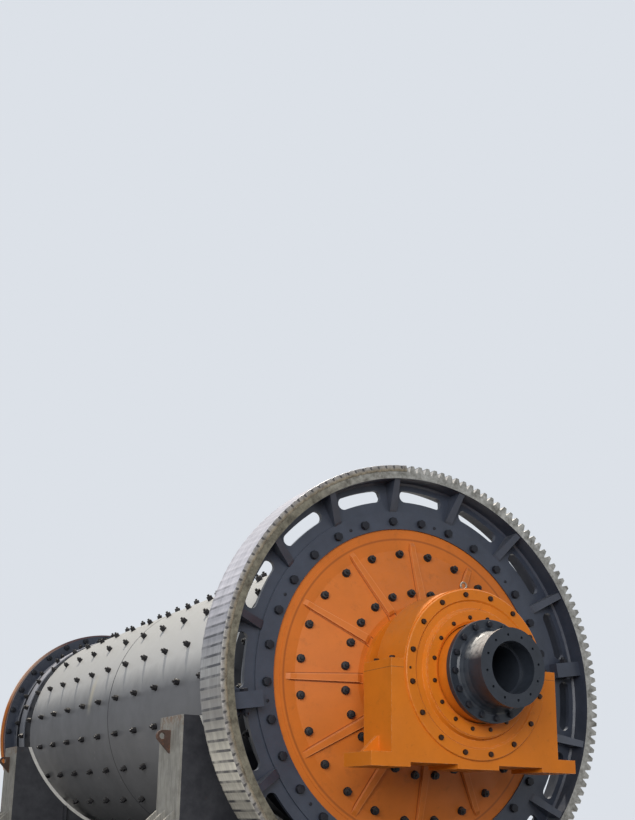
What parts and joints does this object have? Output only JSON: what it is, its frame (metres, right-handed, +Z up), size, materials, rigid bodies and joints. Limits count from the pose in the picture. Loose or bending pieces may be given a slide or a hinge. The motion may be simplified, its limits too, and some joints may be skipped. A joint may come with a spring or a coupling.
{
  "type": "ball mill",
  "caption": "Long horizontal grinding drum with a split girth gear, conical ribbed heads, hollow trunnions in pedestal bearings, resting on two steel shipping cradles.",
  "frame": {"origin": "on the ground below the drum's middle", "axes": "+Y along the drum's axis, from the gear towards the plain end; +X to the right seen from the gear end; +Z up"},
  "size_m": [3.734, 9.302, 3.4279],
  "materials": {
    "shell_paint": "semi-gloss dark grey enamel, lightly dusted",
    "head_paint": "orange enamel over a cast head",
    "housing_paint": "brighter orange enamel",
    "charcoal_paint": "blue-black gloss enamel",
    "gear_paint": "blue-black enamel on the web, machined and greased teeth",
    "machined": "machined steel",
    "bush": "plain bearing bush",
    "lining": "worn manganese steel",
    "cradle_dark": "dark primer",
    "cradle_grey": "weathered grey primer",
    "saddle": "plain steel strip, edge bright",
    "rust": "rusted plate"
  },
  "bodies": {
    "frame": {"gear_end_housing_base": "housing_paint", "gear_end_housing_cap": "housing_paint", "gear_end_bush": "bush", "gear_end_cover": "housing_paint", "gear_end_seal": "housing_paint", "plain_end_housing_base": "housing_paint", "plain_end_housing_cap": "housing_paint", "plain_end_bush": "bush", "plain_end_cover": "housing_paint", "plain_end_seal": "housing_paint", "near_cradle_webs": "cradle_dark", "near_cradle_posts": "cradle_grey", "near_cradle_sill": "cradle_grey", "near_cradle_saddle": "saddle", "near_cradle_eyes": "rust", "far_cradle_webs": "cradle_dark", "far_cradle_posts": "cradle_grey", "far_cradle_sill": "cradle_grey", "far_cradle_saddle": "saddle", "far_cradle_eyes": "rust"},
    "drum": {"mill_shell": "shell_paint", "shell_lining": "lining", "gear_end_flange": "charcoal_paint", "plain_end_flange": "charcoal_paint", "gear_end_head": "head_paint", "plain_end_head": "head_paint", "gear_end_head_lining": "lining", "plain_end_head_lining": "lining", "gear_upper_half": "gear_paint", "gear_lower_half": "gear_paint", "gear_end_trunnion": "machined", "plain_end_trunnion": "machined", "gear_end_spout": "charcoal_paint", "plain_end_spout": "charcoal_paint"}
  },
  "joints": [
    {"name": "drum_spin", "type": "hinge", "parent": "frame", "child": "drum", "pos_m": [0, 0, 1.8], "axis": [0, 1, 0], "continuous": true}
  ]
}
